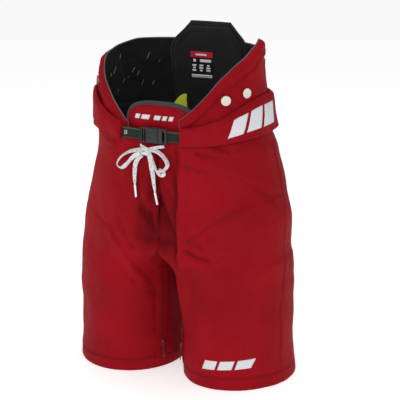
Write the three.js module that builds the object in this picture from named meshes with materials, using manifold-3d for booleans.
// Ice hockey pants, standing on their hems. Millimetres, +Z up, the wearer faces -Y and their left is +X.
// The padded waist (belt band, kidney wings, tongue, spine pad) carries two padded legs that swing about
// the wearer's hip axis. Soft panels are closed slabs that follow one body surface at stated depths.
import * as THREE from "three";
import { mergeVertices } from "three/addons/utils/BufferGeometryUtils.js";
import Module from "manifold-3d";

const wasm = await Module();
wasm.setup();

// ---- Driving dimensions -------------------------------------------------------------------------
const LEG_GAP = 10;              // from the middle plane to a leg's inner wall
const LEG_HALF_WIDTH = 99;
const LEG_HALF_DEPTH = 111;
const LEG_Y = 4.4;                 // the legs stand a little behind the waist
const LEG_TURN = THREE.MathUtils.degToRad(-8);
const HIP_LINE_Z = 215;          // where the legs stop being straight tubes
const HIP_HALF_DEPTH = 121;
const WAIST_LINE_Z = 480;
const WAIST_HALF_WIDTH = 158;
const WAIST_HALF_DEPTH = 105;
const WAIST_Y = -7.5;
const RIM_LINE_Z = 620;
const RIM_HALF_WIDTH = 151;
const RIM_HALF_DEPTH = 99;
const SQUARENESS = 2.3;          // superellipse power of the body outline

const HIP_AXIS_Z = 425;          // hip joint axis, along X, through Y = 0
const HIP_RADIUS = 170;          // the legs start outside this radius
const HIP_CLEARANCE = 2;         // the waist stays inside the radius less this
const MIDDLE_GAP = 2;            // leg panels stop this short of the middle plane

const SHELL = 3;                 // outer nylon with its backing
const CAP = 3;                   // moulded plastic guard
const FOAM_DEPTH = 15;           // depth at which the foam ends
const LINING = 1.5;
const PLY_GAP = 0.8;             // between plies
const WING_THICKNESS = 9;
const WEB_THICKNESS = 1.6;
const WEB_WIDTH = 20;
const WEB_TUCK = 18;             // webbing hidden behind the band
const BAND_THICKNESS = 6;
const BAND_STEP = PLY_GAP + WEB_THICKNESS + PLY_GAP;

const FLY_LEFT = 43;             // front edges of the left and right panels
const FLY_RIGHT = 62;
const FLY_STEP = 1.8;            // the fly lies this far behind the side panels
const FLY_CLEARANCE = 1.5;       // from the fly's top edge up to the buckle
const SEAT_HALF_WIDTH = 60;
const HIP_CAP_BOTTOM = 292;
const HIP_FOAM_BOTTOM = 282;
const TAIL_HALF_WIDTH = 48;
const TAIL_BOTTOM = 330;
const GUSSET_HALF_WIDTH = 38;
const GUSSET_THICKNESS = 5;
const BAND_BOTTOM = [438, 455];  // at the front edge and at the side
const BAND_TOP = [470, 520];
const SEAM_OVERLAP = 7;          // the band hides the seam between hips and wings
const WING_RIM = {               // [angle from the side in degrees, height]
  left: [[-77, 479], [-60, 517], [-45, 551], [-30, 572], [-13, 588], [0, 604], [8, 615], [14, 603], [35, 594], [88, 594]],
  right: [[-70, 468], [-45, 520], [-12, 568], [10, 582], [35, 592], [88, 594]],
};

const TONGUE_HALF_WIDTH = 66;
const TONGUE_TOP = 508;
const TONGUE_SHOULDER = 468;
const TONGUE_BOTTOM = 447;
const TONGUE_DEPTH = WING_THICKNESS + 2 * PLY_GAP;
const TONGUE_THICKNESS = 12;
const BINDING = 6;

const SPINE_TOP = 628;
const SPINE_OUTLINE = [[447, 46], [494, 58], [535, 70], [582, 73], [SPINE_TOP, 37]];  // [height, half-width]
const SPINE_DEPTH = WING_THICKNESS + 2 * PLY_GAP;
const SPINE_THICKNESS = 10;
const SPINE_PANEL_INSET = 9;
const SPINE_PANEL_THICKNESS = 3;
const SPINE_COLUMNS = 16;
const LABEL = { left: -20, right: 24, bottom: 524, top: 573, thickness: 0.6 };
const FIN = { inner: -12, outer: 14, bottom: 449, innerTop: 486, outerTop: 456 };  // x from the pad's foot

const BUCKLE_Z = 453;
const BUCKLE_X = 8;              // mouth of the socket
const BUCKLE_HEIGHT = 26;
const BUCKLE_THICKNESS = 10;
const SOCKET_LENGTH = 22;
const SOCKET_WALL = 2.2;
const SOCKET_BLOCK = 5;
const ADJUSTER_LENGTH = 12;
const CLIP_BASE = 6;
const CLIP_BAR = 10;
const PRONG_LENGTH = 14;
const GUIDE_LENGTH = 11;
const PRONG_WIDTH = 3.4;
const FIT_GAP = 0.4;

const BUTTON_RADIUS = 8.5;
const BUTTON_HEIGHT = 5;
const BUTTON_NECK = 3;
const BUTTON_HEAD = 2.2;         // thickness of the head
const BUTTON_GAP = PLY_GAP + 0.3;  // the neck's foot is flat and the wing is curved
const FRONT_BUTTONS = {           // [angle from the side in degrees, height]
  left: [[-42, 518], [-22, 528]],
  right: [[-17, 527], [3, 533]],
};
const BACK_BUTTONS = [[62, 548], [38, 550]];

const HEM_RISE = 6;              // the lining ends this far above the hem
const FOAM_BOTTOM = 22;          // the thigh pads stand on the hem's stitching
const GUARD_BOTTOM = 34;

const ZIP_ANGLE = -142;          // from the outer side round the front, in degrees
const ZIP_TAPE = 1;              // thickness
const ZIP_TAPE_WIDTH = 24;
const ZIP_BOTTOM = 20;
const ZIP_TOP = 195;
const SLIDER_Z = 50;
const PULL_LENGTH = 26;

const LACE_RADIUS = 2;
const KNOT = [-14, -120.5, 426];
const KNOT_RADII = [8.5, 5.5, 7];
const LACE_LOOP_LEFT = [
  [-24, -118.5, 427], [-35, -119, 425], [-46, -120, 422], [-57, -122, 416], [-65, -124, 408],
  [-69, -125.5, 400], [-66, -126.5, 394], [-58, -127, 393], [-49, -126.5, 401], [-40, -126, 411],
  [-32, -125.5, 418], [-24, -124.5, 422],
];
const LACE_LOOP_RIGHT = [
  [-4, -118.5, 428], [4, -119, 427], [14, -120, 423], [23, -122, 416], [29, -124, 407],
  [26, -125.5, 399], [18, -126.5, 394], [9, -127, 395], [4, -126.5, 402], [1, -126, 411],
  [-1, -125.5, 417], [-4, -124.5, 421],
];
const LACE_TAIL_LEFT = [
  [-24, -117.5, 417], [-31, -117.3, 411], [-36, -117.5, 402], [-38, -118, 390], [-38.5, -118.5, 375],
  [-38, -118.5, 362],
];
const LACE_TAIL_RIGHT = [
  [-10, -117.5, 417], [-7, -117.5, 408], [-5, -117.8, 396], [-2.5, -118, 383], [-0.5, -118.5, 368],
  [1.5, -118.5, 352],
];
const AGLET_LEFT = [[-37.9, -118.5, 361.4], [-36, -118.5, 341]];
const AGLET_RIGHT = [[1.7, -118.5, 351.4], [6, -118.5, 332]];
const AGLET_RADIUS = 1.7;

// ---- Materials ----------------------------------------------------------------------------------
const material = (color, roughness, metalness = 0) =>
  new THREE.MeshStandardMaterial({ color, roughness, metalness });
const MATERIALS = {
  red: material(0x8c141c, 0.75),
  lining: material(0x1e1e20, 0.9),
  black: material(0x2d2b2c, 0.9),
  lime: material(0xcdd73c, 0.8),
  binding: material(0x48484a, 0.85),
  webbing: material(0x2d3230, 0.85),
  plastic: material(0x4a4b4d, 0.5),
  guard: material(0x202224, 0.45),
  foam: material(0xb9bcc0, 0.95),
  button: material(0xeeeee2, 0.35),
  lace: material(0xebebf0, 0.9),
  aglet: material(0xf2f2f2, 0.3),
  label: material(0xc4262e, 0.7),
  metal: material(0x8d9094, 0.35, 1),
};

// ---- Body surface -------------------------------------------------------------------------------
const lerp = THREE.MathUtils.lerp;
const smoothstep = THREE.MathUtils.smoothstep;
const radians = THREE.MathUtils.degToRad;
const LEG_X = LEG_GAP + LEG_HALF_WIDTH;
const HIP_HALF_WIDTH = LEG_X + LEG_HALF_WIDTH;
const WAIST_RADIUS = HIP_RADIUS - HIP_CLEARANCE;

const rounded = (value) => Math.sign(value) * Math.abs(value) ** (2 / SQUARENESS);

// Half-width, half-depth and centre of the body outline at a height.
function outline(z) {
  const low = (z - HIP_LINE_Z) / (WAIST_LINE_Z - HIP_LINE_Z);
  const high = (z - WAIST_LINE_Z) / (RIM_LINE_Z - WAIST_LINE_Z);
  if (high <= 0) {
    return [
      lerp(HIP_HALF_WIDTH, WAIST_HALF_WIDTH, low),
      lerp(HIP_HALF_DEPTH, WAIST_HALF_DEPTH, low),
      lerp(LEG_Y, WAIST_Y, low),
    ];
  }
  return [
    lerp(WAIST_HALF_WIDTH, RIM_HALF_WIDTH, high),
    lerp(WAIST_HALF_DEPTH, RIM_HALF_DEPTH, high),
    WAIST_Y,
  ];
}

// A point of the left half: angle 0 is the side, -90 degrees the front, 90 the back.
function bodyPoint(angle, z, depth) {
  const [halfWidth, halfDepth, middle] = outline(z);
  return [
    (halfWidth - depth) * rounded(Math.cos(angle)),
    middle + (halfDepth - depth) * rounded(Math.sin(angle)),
    z,
  ];
}

// Distance from the middle plane's Y to the surface at a given x, at the front (-1) or back (1).
function surfaceY(x, z, depth, end = -1) {
  const [halfWidth, halfDepth, middle] = outline(z);
  const share = Math.min(1, Math.abs(x) / (halfWidth - depth));
  return middle + end * (halfDepth - depth) * (1 - share ** SQUARENESS) ** (1 / SQUARENESS);
}

// The angle at which the waistline reaches a given x, at the front (-1) or back (1).
const angleAt = (x, end = -1) => end * Math.acos((x / WAIST_HALF_WIDTH) ** (SQUARENESS / 2));

// Height of the hip joint's cylinder under a point at depth y.
const hipArc = (y, radius) => HIP_AXIS_Z - Math.sqrt(Math.max(0, radius ** 2 - y ** 2));

// A leg point: angle 0 is the outer side, -90 degrees the front, 180 the inner wall. Above the hip line the
// round tube turns into half of the body outline, closed by a flat inner wall.
const CORNER = radians(126);
function legPoint(angle, z, depth) {
  const a = (LEG_HALF_WIDTH - depth) * Math.cos(angle);
  const b = (LEG_HALF_DEPTH - depth) * Math.sin(angle);
  const tube = [
    LEG_X + a * Math.cos(LEG_TURN) - b * Math.sin(LEG_TURN),
    LEG_Y + a * Math.sin(LEG_TURN) + b * Math.cos(LEG_TURN),
  ];
  const blend = smoothstep(z, HIP_LINE_Z - 10, HIP_LINE_Z + 48);
  if (blend === 0) {
    return [...tube, z];
  }
  const wall = MIDDLE_GAP + depth;
  const end = angleAt(wall, 1);
  let half;
  if (Math.abs(angle) <= CORNER) {
    half = bodyPoint((angle / CORNER) * end, z, depth);
  } else {
    const share = (Math.PI - Math.abs(angle)) / (Math.PI - CORNER);
    const corner = bodyPoint(Math.sign(angle) * end, z, depth);
    const middle = outline(z)[2];
    half = [wall, middle + (corner[1] - middle) * share];
  }
  return [lerp(tube[0], half[0], blend), lerp(tube[1], half[1], blend), z];
}

// Where a leg surface meets the hip cylinder, for one angle and depth.
function legTop(angle, depth, radius = HIP_RADIUS) {
  let z = HIP_AXIS_Z - radius + 20;
  for (let pass = 0; pass < 6; pass += 1) {
    z = hipArc(legPoint(angle, z, depth)[1], radius);
  }
  return z;
}

// Where a waist surface meets the hip cylinder, for one angle and depth.
function waistFoot(angle, depth, radius = WAIST_RADIUS) {
  let z = HIP_AXIS_Z - radius + 20;
  for (let pass = 0; pass < 6; pass += 1) {
    z = hipArc(bodyPoint(angle, z, depth)[1], radius);
  }
  return z;
}

// ---- Geometry helpers ---------------------------------------------------------------------------
function closedGeometry(positions, triangles) {
  let volume = 0;
  const corner = (i) => new THREE.Vector3().fromArray(positions, 3 * i);
  for (let t = 0; t < triangles.length; t += 3) {
    const [a, b, c] = [0, 1, 2].map((k) => corner(triangles[t + k]));
    volume += a.dot(b.cross(c));
  }
  if (volume < 0) {
    triangles.reverse();
  }
  const geometry = new THREE.BufferGeometry();
  geometry.setAttribute("position", new THREE.Float32BufferAttribute(positions, 3));
  geometry.setIndex(triangles);
  return geometry;
}

// A closed slab over a grid. point(u, v, face) gives the outer face at 0 and the inner face at 1; side -1
// mirrors it to the wearer's right; a wrapped slab is a ring in u.
function slab(point, uSteps, vSteps, { side = 1, wrap = false } = {}) {
  const columns = wrap ? uSteps : uSteps + 1;
  const rows = vSteps + 1;
  const positions = [];
  for (const face of [0, 1]) {
    for (let i = 0; i < columns; i += 1) {
      for (let j = 0; j < rows; j += 1) {
        const [x, y, z] = point(i / uSteps, j / vSteps, face);
        positions.push(side * x, y, z);
      }
    }
  }
  const index = (i, j, face) => (face * columns + (i % columns)) * rows + j;
  const triangles = [];
  const quad = (a, b, c, d) => triangles.push(a, b, c, a, c, d);
  for (let i = 0; i < uSteps; i += 1) {
    for (let j = 0; j < vSteps; j += 1) {
      quad(index(i, j, 0), index(i + 1, j, 0), index(i + 1, j + 1, 0), index(i, j + 1, 0));
      quad(index(i, j, 1), index(i, j + 1, 1), index(i + 1, j + 1, 1), index(i + 1, j, 1));
    }
    quad(index(i, 0, 0), index(i, 0, 1), index(i + 1, 0, 1), index(i + 1, 0, 0));
    quad(index(i, vSteps, 0), index(i + 1, vSteps, 0), index(i + 1, vSteps, 1), index(i, vSteps, 1));
  }
  if (!wrap) {
    for (let j = 0; j < vSteps; j += 1) {
      quad(index(0, j, 0), index(0, j + 1, 0), index(0, j + 1, 1), index(0, j, 1));
      quad(index(uSteps, j, 0), index(uSteps, j, 1), index(uSteps, j + 1, 1), index(uSteps, j + 1, 0));
    }
  }
  return closedGeometry(positions, triangles);
}

// The same mesh with shared corners and no normals.
function merged(geometry) {
  const bare = geometry.clone();
  bare.deleteAttribute("normal");
  bare.deleteAttribute("uv");
  return mergeVertices(bare, 1e-4);
}

// A mirrored mesh is inside out, so its faces are turned to point outwards again.
function turnedOut(geometry) {
  const whole = merged(geometry);
  return closedGeometry([...whole.attributes.position.array], [...whole.index.array]);
}

function toSolid(geometry) {
  const whole = merged(geometry);
  return new wasm.Manifold(new wasm.Mesh({
    numProp: 3,
    vertProperties: new Float32Array(whole.attributes.position.array),
    triVerts: new Uint32Array(whole.index.array),
  }));
}

function fromSolid(solid) {
  const mesh = solid.getMesh();
  const geometry = new THREE.BufferGeometry();
  geometry.setAttribute("position", new THREE.Float32BufferAttribute(mesh.vertProperties, 3));
  geometry.setIndex([...mesh.triVerts]);
  return geometry;
}

// A box between two corners.
function box(low, high) {
  const size = low.map((value, k) => high[k] - value);
  const geometry = new THREE.BoxGeometry(...size);
  geometry.translate(...low.map((value, k) => value + size[k] / 2));
  return geometry;
}

const cut = (geometry, ...tools) =>
  fromSolid(tools.reduce((solid, tool) => solid.subtract(toSolid(tool)), toSolid(geometry)));
const join = (...geometries) => fromSolid(geometries.map(toSolid).reduce((a, b) => a.add(b)));

function lathe(profile, segments) {
  const points = profile.map(([r, h]) => new THREE.Vector2(r, h));
  return new THREE.LatheGeometry(points, segments);
}

// A rod of constant radius between two points.
function rod(from, to, radius, sides) {
  const start = new THREE.Vector3(...from);
  const along = new THREE.Vector3(...to).sub(start);
  const geometry = new THREE.CylinderGeometry(radius, radius, along.length(), sides);
  geometry.translate(0, along.length() / 2, 0);
  const up = new THREE.Vector3(0, 1, 0);
  geometry.applyQuaternion(new THREE.Quaternion().setFromUnitVectors(up, along.normalize()));
  geometry.translate(...start);
  return geometry;
}

// A plain tube along a cord's route.
function cordTube(route, radius, sides = 8) {
  const path = new THREE.CatmullRomCurve3(route.map((p) => new THREE.Vector3(...p)));
  const section = new THREE.Shape();
  section.absarc(0, 0, radius, 0, 2 * Math.PI);
  return new THREE.ExtrudeGeometry(section, {
    steps: Math.max(4, Math.round(path.getLength() / (5 * radius))),
    extrudePath: path,
    curveSegments: sides / 2,
    bevelEnabled: false,
  });
}

// ---- Assembly -----------------------------------------------------------------------------------
const group = new THREE.Group();
function add(name, geometry, look, parent = group) {
  const mesh = new THREE.Mesh(geometry, MATERIALS[look]);
  mesh.name = name;
  parent.add(mesh);
  return mesh;
}

const SIDES = [["left", 1, FLY_LEFT], ["right", -1, FLY_RIGHT]];
const CENTRE_SEAM = 1;           // from the middle plane to a panel that ends there
const EDGE_GAP = 0.6;            // between panels that meet edge to edge

// The band climbs from its front edges to the sides of the body.
function bandHeight([front, side], angle) {
  return lerp(front, side, smoothstep(angle, radians(-78), radians(-5)));
}
const seamHeight = (angle) => bandHeight(BAND_BOTTOM, angle) + SEAM_OVERLAP;

function rimHeight(points, angle) {
  const degrees = THREE.MathUtils.radToDeg(angle);
  for (let k = 1; k < points.length; k += 1) {
    const [from, to] = [points[k - 1], points[k]];
    if (degrees <= to[0] || k === points.length - 1) {
      const share = THREE.MathUtils.clamp((degrees - from[0]) / (to[0] - from[0]), 0, 1);
      return lerp(from[1], to[1], share);
    }
  }
  return points[0][1];
}

// A panel on the body between two angles and two heights, from one depth to another.
function bodyPanel(angles, foot, head, depths, steps, side) {
  const point = (u, v, face) => {
    const angle = lerp(angles[0], angles[1], u);
    return bodyPoint(angle, lerp(foot(angle, depths[face]), head(angle), v), depths[face]);
  };
  return slab(point, steps[0], steps[1], { side });
}

// A panel across the front (-1) or back (1) between two x, where shape(x share) gives the heights.
function crossPanel(xs, foot, head, depths, steps, end = -1) {
  const point = (u, v, face) => {
    const x = lerp(xs[0], xs[1], u);
    const z = lerp(foot(x, depths[face]), head(x), v);
    return [x, surfaceY(x, z, depths[face], end), z];
  };
  return slab(point, steps[0], steps[1]);
}

// Height of the hip cylinder on the front or back surface at an x.
function crossFoot(x, depth, end, radius = WAIST_RADIUS) {
  let z = HIP_AXIS_Z - radius + 20;
  for (let pass = 0; pass < 6; pass += 1) {
    z = hipArc(surfaceY(x, z, depth, end), radius);
  }
  return z;
}

// Plies from the outside in: shell, guard, foam, lining.
const GUARD_DEPTHS = [SHELL + PLY_GAP, SHELL + PLY_GAP + CAP];
const FOAM_DEPTHS = [GUARD_DEPTHS[1] + PLY_GAP, FOAM_DEPTH];
const LINING_DEPTHS = [FOAM_DEPTH + PLY_GAP, FOAM_DEPTH + PLY_GAP + LINING];
const LINING_RADIUS = WAIST_RADIUS - 8;

function addHips() {
  const shellFoot = (angle, depth) => waistFoot(angle, depth);
  for (const [name, side, fly] of SIDES) {
    const front = angleAt(fly + EDGE_GAP);
    const back = angleAt(SEAT_HALF_WIDTH + EDGE_GAP, 1);
    const padFoot = (low) => (angle, depth) => Math.max(low, waistFoot(angle, depth, LINING_RADIUS));
    add(`hip_shell_${name}`,
      bodyPanel([front, back], shellFoot, seamHeight, [0, SHELL], [20, 5], side), "red");
    const capAngles = [radians(-46), radians(52)];
    const capHead = () => BAND_BOTTOM[0] - 8;
    add(`hip_cap_${name}`,
      bodyPanel(capAngles, padFoot(HIP_CAP_BOTTOM), capHead, GUARD_DEPTHS, [13, 4], side), "guard");
    const foamAngles = [radians(-52), radians(58)];
    const foamHead = () => BAND_BOTTOM[0] - 3;
    add(`hip_foam_${name}`,
      bodyPanel(foamAngles, padFoot(HIP_FOAM_BOTTOM), foamHead, FOAM_DEPTHS, [14, 4], side), "foam");
    const liningFoot = (angle, depth) => waistFoot(angle, depth, LINING_RADIUS);
    const liningAngles = [angleAt(CENTRE_SEAM), angleAt(CENTRE_SEAM, 1)];
    const liningHead = () => BAND_BOTTOM[0];
    add(`waist_lining_${name}`,
      bodyPanel(liningAngles, liningFoot, liningHead, LINING_DEPTHS, [24, 4], side), "lining");
  }
  // The fly and the seat run from one side's panel edge round the middle to the other's.
  const flyAngles = [-Math.PI - angleAt(FLY_RIGHT), angleAt(FLY_LEFT)];
  const flyHead = () => BUCKLE_Z - BUCKLE_HEIGHT / 2 - FLY_CLEARANCE;
  add("fly_panel", bodyPanel(flyAngles, shellFoot, flyHead, [FLY_STEP, FLY_STEP + SHELL], [10, 5], 1), "red");
  const seatAngles = [angleAt(SEAT_HALF_WIDTH, 1), Math.PI - angleAt(SEAT_HALF_WIDTH, 1)];
  const seatHead = () => BAND_BOTTOM[1] + SEAM_OVERLAP;
  add("seat_panel", bodyPanel(seatAngles, shellFoot, seatHead, [0, SHELL], [10, 5], 1), "red");
  const tailDepths = [GUARD_DEPTHS[0], FOAM_DEPTH];
  const tail = crossPanel([TAIL_HALF_WIDTH, -TAIL_HALF_WIDTH], () => TAIL_BOTTOM, () => BAND_BOTTOM[0] - 3,
    tailDepths, [8, 4], 1);
  add("tailbone_pad", tail, "foam");
}

// The strip between the legs follows the hip cylinder from the fly to the seat.
function addGusset() {
  const halfWidth = GUSSET_HALF_WIDTH;
  const outer = WAIST_RADIUS;
  const frontY = surfaceY(halfWidth, crossFoot(halfWidth, 0, -1), FOAM_DEPTH / 2);
  const backY = surfaceY(halfWidth, crossFoot(halfWidth, 0, 1), FOAM_DEPTH / 2, 1);
  const from = Math.asin(frontY / outer);
  const to = Math.asin(backY / outer);
  const point = (u, v, face) => {
    const turn = lerp(from, to, u);
    const radius = outer - face * GUSSET_THICKNESS;
    return [lerp(halfWidth, -halfWidth, v), radius * Math.sin(turn), HIP_AXIS_Z - radius * Math.cos(turn)];
  };
  add("crotch_gusset", slab(point, 14, 4), "red");
}

function addWings() {
  for (const [name, side, fly] of SIDES) {
    const angles = [angleAt(fly), angleAt(CENTRE_SEAM, 1)];
    const foot = (angle) => seamHeight(angle) + EDGE_GAP;
    const head = (angle) => rimHeight(WING_RIM[name], angle);
    add(`kidney_wing_${name}`, bodyPanel(angles, foot, head, [0, WING_THICKNESS], [24, 5], side), "red");
    const bandAngles = [angleAt(fly + 2), angleAt(CENTRE_SEAM, 1)];
    const bandDepths = [-BAND_STEP - BAND_THICKNESS, -BAND_STEP];
    const bandFoot = (angle) => bandHeight(BAND_BOTTOM, angle);
    const bandHead = (angle) => bandHeight(BAND_TOP, angle);
    add(`belt_band_${name}`, bodyPanel(bandAngles, bandFoot, bandHead, bandDepths, [24, 2], side), "red");
  }
}

function addTongue() {
  const arch = (share, inset) => {
    const angle = Math.PI * (1 - share);
    const power = (value) => Math.sign(value) * Math.abs(value) ** (2 / 3);
    return [
      (TONGUE_HALF_WIDTH - inset) * power(Math.cos(angle)),
      TONGUE_SHOULDER + (TONGUE_TOP - TONGUE_SHOULDER - inset) * power(Math.sin(angle)),
    ];
  };
  const depths = [TONGUE_DEPTH, TONGUE_DEPTH + TONGUE_THICKNESS];
  const pad = (u, v, face) => {
    const [x, top] = arch(u, BINDING + PLY_GAP);
    const z = lerp(TONGUE_BOTTOM, top, v);
    return [x, surfaceY(x, z, depths[face]), z];
  };
  add("tongue_pad", slab(pad, 16, 4), "red");
  const trim = (u, v, face) => {
    const [x, z] = arch(u, lerp(BINDING, 0, v));
    return [x, surfaceY(x, z, depths[face]), z];
  };
  add("tongue_binding", slab(trim, 20, 1), "binding");
}

function addSpine() {
  const halfWidth = (z, inset) => {
    const points = SPINE_OUTLINE;
    for (let k = 1; k < points.length; k += 1) {
      if (z <= points[k][0] || k === points.length - 1) {
        const share = (z - points[k - 1][0]) / (points[k][0] - points[k - 1][0]);
        return lerp(points[k - 1][1], points[k][1], share) - inset;
      }
    }
    return points[0][1] - inset;
  };
  const heights = SPINE_OUTLINE.map((p) => p[0]);
  const plate = (inset, depths) => (u, v, face) => {
    const k = Math.round(v * (heights.length - 1));
    const last = heights.length - 1;
    const z = k === 0 ? heights[0] + inset : k === last ? heights[last] - inset : heights[k];
    const x = lerp(halfWidth(z, inset), -halfWidth(z, inset), u);
    return [x, surfaceY(x, z, depths[face], 1), z];
  };
  const inner = SPINE_DEPTH + SPINE_THICKNESS;
  const face = inner + PLY_GAP + SPINE_PANEL_THICKNESS;
  const rows = heights.length - 1;
  add("spine_pad", slab(plate(0, [SPINE_DEPTH, inner]), SPINE_COLUMNS, rows), "black");
  add("spine_panel", slab(plate(SPINE_PANEL_INSET, [inner + PLY_GAP, face]), SPINE_COLUMNS, rows), "black");
  const patch = crossPanel([LABEL.right, LABEL.left], () => LABEL.bottom, () => LABEL.top,
    [face + PLY_GAP, face + PLY_GAP + LABEL.thickness], [4, 1], 1);
  add("size_label", patch, "label");
  // Lime foam fins at the foot of the spine pad.
  const footWidth = SPINE_OUTLINE[0][1];
  for (const [name, side] of SIDES) {
    const fin = (u, v, wall) => {
      const x = footWidth + lerp(FIN.inner, FIN.outer, u);
      const top = lerp(FIN.innerTop, FIN.outerTop, u * u);
      const z = lerp(FIN.bottom, top, v);
      const depth = face + 2 * PLY_GAP + wall * SPINE_PANEL_THICKNESS;
      return [x, surfaceY(x, z, depth, 1), z];
    };
    add(`lime_fin_${name}`, slab(fin, 5, 2, { side }), "lime");
  }
}

function addStrap() {
  const low = BUCKLE_Z - WEB_WIDTH / 2;
  const high = BUCKLE_Z + WEB_WIDTH / 2;
  const depths = [-PLY_GAP - WEB_THICKNESS, -PLY_GAP];
  const web = (from, to) => crossPanel([from, to], () => low, () => high, depths, [6, 1]);
  const socketLeft = BUCKLE_X - SOCKET_LENGTH;
  const adjusterLeft = socketLeft - FIT_GAP - ADJUSTER_LENGTH;
  const clipRight = BUCKLE_X + FIT_GAP + CLIP_BASE + CLIP_BAR;
  add("belt_strap_left", web(clipRight - 6, FLY_LEFT + WEB_TUCK), "webbing");
  add("belt_strap_right", web(-FLY_RIGHT - WEB_TUCK, adjusterLeft - FIT_GAP), "webbing");

  const middle = surfaceY(0, BUCKLE_Z, -PLY_GAP - WEB_THICKNESS / 2);
  const front = middle - BUCKLE_THICKNESS / 2;
  const back = middle + BUCKLE_THICKNESS / 2;
  const top = BUCKLE_Z + BUCKLE_HEIGHT / 2;
  const bottom = BUCKLE_Z - BUCKLE_HEIGHT / 2;
  const socket = cut(
    box([socketLeft, front, bottom], [BUCKLE_X, back, top]),
    box([socketLeft + SOCKET_BLOCK, front + SOCKET_WALL, bottom - 1],
      [BUCKLE_X + 1, back - SOCKET_WALL, top + 1]),
  );
  add("buckle_socket", socket, "plastic");

  // Ladder of bars that sets the strap's length.
  const slots = [];
  for (let k = 0; k < 2; k += 1) {
    const x = adjusterLeft + 2 + 5 * k;
    slots.push(box([x, front, low - PLY_GAP], [x + 3, back, high + PLY_GAP]));
  }
  const ladder = box([adjusterLeft, middle - 2.5, bottom], [socketLeft - FIT_GAP, middle + 2.5, top]);
  add("strap_adjuster", cut(ladder, ...slots), "plastic");

  // The clip: a base at the mouth, a middle guide inside the socket and a bar that the strap is sewn round.
  const blade = (BUCKLE_THICKNESS - 2 * SOCKET_WALL) / 2 - FIT_GAP;
  const baseLeft = BUCKLE_X + FIT_GAP;
  const baseRight = baseLeft + CLIP_BASE;
  const base = box([baseLeft, front + 0.6, bottom], [baseRight, back - 0.6, top]);
  const guide = box([baseLeft - GUIDE_LENGTH, middle - blade, BUCKLE_Z - 3],
    [baseLeft + 1, middle + blade, BUCKLE_Z + 3]);
  const barFront = middle - 4.4;
  const barBack = middle - WEB_THICKNESS / 2 - PLY_GAP;
  const loop = cut(
    box([baseRight - 1, barFront, bottom], [clipRight, barBack, top]),
    box([baseRight + 1.5, barFront - 1, low - PLY_GAP], [clipRight - 3, barBack + 1, high + PLY_GAP]),
  );
  add("buckle_clip", join(base, guide, loop), "plastic");

  // Two springing prongs with a hooked tip.
  for (const [name, sign] of [["upper", 1], ["lower", -1]]) {
    const outer = BUCKLE_HEIGHT / 2 - 0.6;
    const shape = new THREE.Shape();
    shape.moveTo(-FIT_GAP, outer - PRONG_WIDTH - 1);
    shape.lineTo(-FIT_GAP, outer - 1);
    shape.lineTo(-PRONG_LENGTH * 0.45, outer - 1);
    shape.lineTo(-PRONG_LENGTH * 0.62, outer);
    shape.lineTo(-PRONG_LENGTH, outer - 2.6);
    shape.lineTo(-PRONG_LENGTH, outer - PRONG_WIDTH - 0.6);
    const prong = new THREE.ExtrudeGeometry(shape, { depth: 2 * blade, bevelEnabled: false });
    prong.rotateX(Math.PI / 2);
    prong.scale(1, 1, sign);
    prong.translate(baseLeft, middle + blade, BUCKLE_Z);
    add(`prong_${name}`, turnedOut(prong), "plastic");
  }
}

// Flat-faced suspender buttons on a short neck, square to the wing.
function addButtons() {
  const profile = [
    [0, 0], [BUTTON_NECK, 0], [BUTTON_NECK, BUTTON_HEIGHT - BUTTON_HEAD],
    [BUTTON_RADIUS - 0.6, BUTTON_HEIGHT - BUTTON_HEAD], [BUTTON_RADIUS, BUTTON_HEIGHT - 1.4],
    [BUTTON_RADIUS - 0.8, BUTTON_HEIGHT], [0, BUTTON_HEIGHT],
  ];
  for (const [name, side] of SIDES) {
    for (const [end, spots] of [["front", FRONT_BUTTONS[name]], ["back", BACK_BUTTONS]]) {
      spots.forEach(([degrees, z], k) => {
        const angle = radians(degrees);
        const spot = new THREE.Vector3(...bodyPoint(angle, z, -BUTTON_GAP));
        const next = new THREE.Vector3(...bodyPoint(angle + 0.02, z, -BUTTON_GAP));
        const above = new THREE.Vector3(...bodyPoint(angle, z + 2, -BUTTON_GAP));
        const normal = next.sub(spot).cross(above.sub(spot)).normalize();
        spot.x *= side;
        normal.x *= side;
        const up = new THREE.Vector3(0, 1, 0);
        const geometry = lathe(profile, 16);
        geometry.applyQuaternion(new THREE.Quaternion().setFromUnitVectors(up, normal));
        geometry.translate(...spot);
        add(`button_${end}_${name}_${k + 1}`, geometry, "button");
      });
    }
  }
}

function addLace() {
  const knot = new THREE.SphereGeometry(1, 12, 8);
  knot.scale(...KNOT_RADII);
  knot.translate(...KNOT);
  add("lace_knot", knot, "lace");
  add("lace_loop_left", cordTube(LACE_LOOP_LEFT, LACE_RADIUS), "lace");
  add("lace_loop_right", cordTube(LACE_LOOP_RIGHT, LACE_RADIUS), "lace");
  add("lace_tail_left", cordTube(LACE_TAIL_LEFT, LACE_RADIUS), "lace");
  add("lace_tail_right", cordTube(LACE_TAIL_RIGHT, LACE_RADIUS), "lace");
  add("aglet_left", rod(...AGLET_LEFT, AGLET_RADIUS, 10), "aglet");
  add("aglet_right", rod(...AGLET_RIGHT, AGLET_RADIUS, 10), "aglet");
}

// A panel on a leg between two angles and two heights.
function legPanel(angles, foot, head, depths, steps, side, rows) {
  const point = (u, v, face) => {
    const angle = lerp(angles[0], angles[1], u);
    const top = head(angle, depths[face]);
    const z = rows ? rows(v, top) : lerp(foot, top, v);
    return legPoint(angle, z, depths[face]);
  };
  return slab(point, steps[0], steps[1], { side, wrap: angles[1] - angles[0] > 2 * Math.PI - 1e-6 });
}

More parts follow.
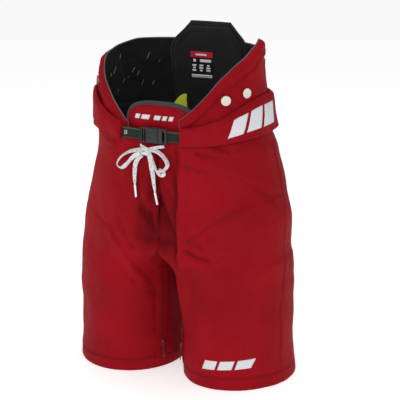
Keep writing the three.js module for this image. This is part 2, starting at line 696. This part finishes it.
function addLegs() {
  const around = [-Math.PI, Math.PI];
  // Rows are even up to the hip line and closer together above it, where the tube changes shape.
  const rowsFrom = (foot) => (v, top) => {
    const straight = HIP_LINE_Z - 15;
    return v <= 0.5 ? lerp(foot, straight, v / 0.5) : lerp(straight, top, (v - 0.5) / 0.5);
  };
  for (const [name, side] of SIDES) {
    const top = (angle, depth) => legTop(angle, depth);
    add(`leg_shell_${name}`, legPanel(around, 0, top, [0, SHELL], [36, 8], side, rowsFrom(0)), "red");
    const liningTop = (angle, depth) => legTop(angle, depth, HIP_RADIUS + 1);
    add(`leg_lining_${name}`,
      legPanel(around, HEM_RISE, liningTop, LINING_DEPTHS, [36, 4], side, rowsFrom(HEM_RISE)), "lining");
    const padTop = HIP_LINE_Z - 17;  // under the height where the tube changes shape
    const guardAngles = [radians(-112), radians(40)];
    const guardTop = () => padTop - 4;
    add(`thigh_guard_${name}`,
      legPanel(guardAngles, GUARD_BOTTOM, guardTop, GUARD_DEPTHS, [17, 2], side), "guard");
    const foamAngles = [radians(-118), radians(60)];
    add(`thigh_foam_${name}`,
      legPanel(foamAngles, FOAM_BOTTOM, () => padTop, FOAM_DEPTHS, [20, 2], side), "foam");
    addZip(name, side);
  }
}

// Inner-leg zip: a straight tape, a slider that runs up it and a hanging pull.
function addZip(name, side) {
  const angle = radians(ZIP_ANGLE);
  const spot = new THREE.Vector3(...legPoint(angle, SLIDER_Z, 0));
  const next = new THREE.Vector3(...legPoint(angle + 0.02, SLIDER_Z, 0));
  const along = next.sub(spot).normalize();
  const outward = new THREE.Vector3(along.y, -along.x, 0);
  const halfAngle = ZIP_TAPE_WIDTH / 2 / ((LEG_HALF_WIDTH + LEG_HALF_DEPTH) / 2);
  const tapeDepths = [-PLY_GAP - ZIP_TAPE, -PLY_GAP];
  const tapeAngles = [angle - halfAngle, angle + halfAngle];
  const tape = legPanel(tapeAngles, ZIP_BOTTOM, () => ZIP_TOP, tapeDepths, [4, 1], side);
  add(`zip_tape_${name}`, tape, "webbing");

  // Boxes in the slider's own frame: across the tape, outward, up.
  const place = (geometry) => {
    const basis = new THREE.Matrix4().makeBasis(along, outward, new THREE.Vector3(0, 0, 1));
    basis.setPosition(spot.x, spot.y, 0);
    geometry.applyMatrix4(basis);
    if (side < 0) {
      geometry.scale(-1, 1, 1);
    }
    return turnedOut(geometry);
  };
  const lift = PLY_GAP + ZIP_TAPE + FIT_GAP;
  const body = box([-4, lift, SLIDER_Z - 6], [4, lift + 2.6, SLIDER_Z + 6]);
  const bridge = box([-1.2, lift + 2, SLIDER_Z - 2], [1.2, lift + 4.2, SLIDER_Z + 4]);
  add(`zip_slider_${name}`, place(join(body, bridge)), "metal");
  const pullTop = SLIDER_Z - 2 - FIT_GAP;
  const tab = box([-2.6, lift + 3, pullTop - PULL_LENGTH], [2.6, lift + 4.4, pullTop]);
  add(`zip_pull_${name}`, place(tab), "metal");
}

addHips();
addGusset();
addWings();
addTongue();
addSpine();
addStrap();
addButtons();
addLace();
addLegs();

export default group;
